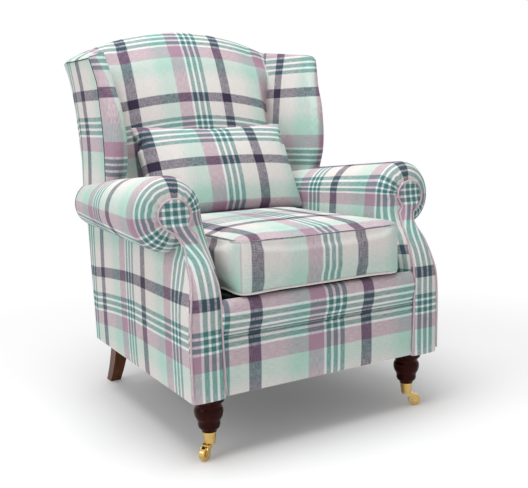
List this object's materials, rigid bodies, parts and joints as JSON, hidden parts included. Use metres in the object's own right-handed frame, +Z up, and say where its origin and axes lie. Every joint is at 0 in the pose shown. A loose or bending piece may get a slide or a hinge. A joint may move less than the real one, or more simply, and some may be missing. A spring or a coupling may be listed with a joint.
{
  "type": "wing armchair",
  "caption": "Upholstered wing armchair with scroll arms, a boxed seat cushion and a loose cushion, turned front legs on cup castors and swept rear legs",
  "frame": {"origin": "on the floor, midway between the sides and under the middle of the seat", "axes": "+Z up, +X to the right of someone who looks at the chair's front, -Y the way the chair faces"},
  "size_m": [0.876, 0.77, 1.042],
  "materials": {
    "plaid_fabric": "woven wool check in cream, teal, mauve and dark grey",
    "foam": "foam and feather filling in plain calico",
    "black_cloth": "thin black non-woven cloth",
    "webbing": "woven jute webbing",
    "beech": "sawn, unfinished",
    "mahogany": "dark red-brown polish, glossy",
    "brass": "polished",
    "steel": "zinc plated"
  },
  "bodies": {
    "chair": {"arm_facing_left": "plaid_fabric", "arm_facing_right": "plaid_fabric", "arm_pad_left": "plaid_fabric", "arm_pad_right": "plaid_fabric", "arm_post_left": "beech", "arm_post_right": "beech", "arm_tack_rail_left": "beech", "arm_tack_rail_right": "beech", "arm_top_rail_left": "beech", "arm_top_rail_right": "beech", "back_post_left": "beech", "back_post_right": "beech", "back_seat_rail": "beech", "back_webbing": "webbing", "castor_cups": "brass", "corner_blocks": "beech", "crest_rail": "beech", "dust_cover": "black_cloth", "front_leg_bolt_left": "steel", "front_leg_bolt_right": "steel", "front_legs": "mahogany", "front_lip": "plaid_fabric", "front_panel": "plaid_fabric", "front_seat_rail": "beech", "inside_back": "plaid_fabric", "lower_back_rail": "beech", "outside_arm_left": "plaid_fabric", "outside_arm_right": "plaid_fabric", "outside_back": "plaid_fabric", "rail_piping": "plaid_fabric", "rear_leg_bolts_left": "steel", "rear_leg_bolts_right": "steel", "rear_leg_left": "mahogany", "rear_leg_right": "mahogany", "seat_platform": "foam", "seat_webbing": "webbing", "side_seat_rail_left": "beech", "side_seat_rail_right": "beech", "wing_pad_left": "plaid_fabric", "wing_pad_right": "plaid_fabric", "wing_post_left": "beech", "wing_post_right": "beech", "wing_stile_left": "beech", "wing_stile_right": "beech", "wing_top_rail_left": "beech", "wing_top_rail_right": "beech"},
    "castor_right": {"castor_fork_right": "brass", "castor_axle_right": "steel"},
    "castor_left": {"castor_fork_left": "brass", "castor_axle_left": "steel"},
    "wheel_right": {"castor_wheel_right": "brass"},
    "wheel_left": {"castor_wheel_left": "brass"},
    "seat_cushion": {"seat_cushion_cover": "plaid_fabric", "seat_cushion_core": "foam"},
    "scatter_cushion": {"scatter_cushion_cover": "plaid_fabric", "scatter_cushion_fill": "foam"}
  },
  "joints": [
    {"name": "castor_swivel_right", "type": "hinge", "parent": "chair", "child": "castor_right", "pos_m": [0.3, -0.323, 0], "axis": [0, 0, 1], "continuous": true},
    {"name": "wheel_spin_right", "type": "hinge", "parent": "castor_right", "child": "wheel_right", "pos_m": [0.31932, -0.33353, 0.016], "axis": [0.4787, 0.878, 0], "continuous": true},
    {"name": "castor_swivel_left", "type": "hinge", "parent": "chair", "child": "castor_left", "pos_m": [-0.3, -0.323, 0], "axis": [0, 0, 1], "continuous": true},
    {"name": "wheel_spin_left", "type": "hinge", "parent": "castor_left", "child": "wheel_left", "pos_m": [-0.31932, -0.33353, 0.016], "axis": [-0.4787, 0.878, 0], "continuous": true},
    {"name": "seat_cushion_lift", "type": "slide", "parent": "chair", "child": "seat_cushion", "axis": [0, -0.8, 0.6], "range_m": [0, 0.7]},
    {"name": "scatter_cushion_lift", "type": "slide", "parent": "seat_cushion", "child": "scatter_cushion", "axis": [0, -0.5, 0.866], "range_m": [0, 0.5]}
  ]
}
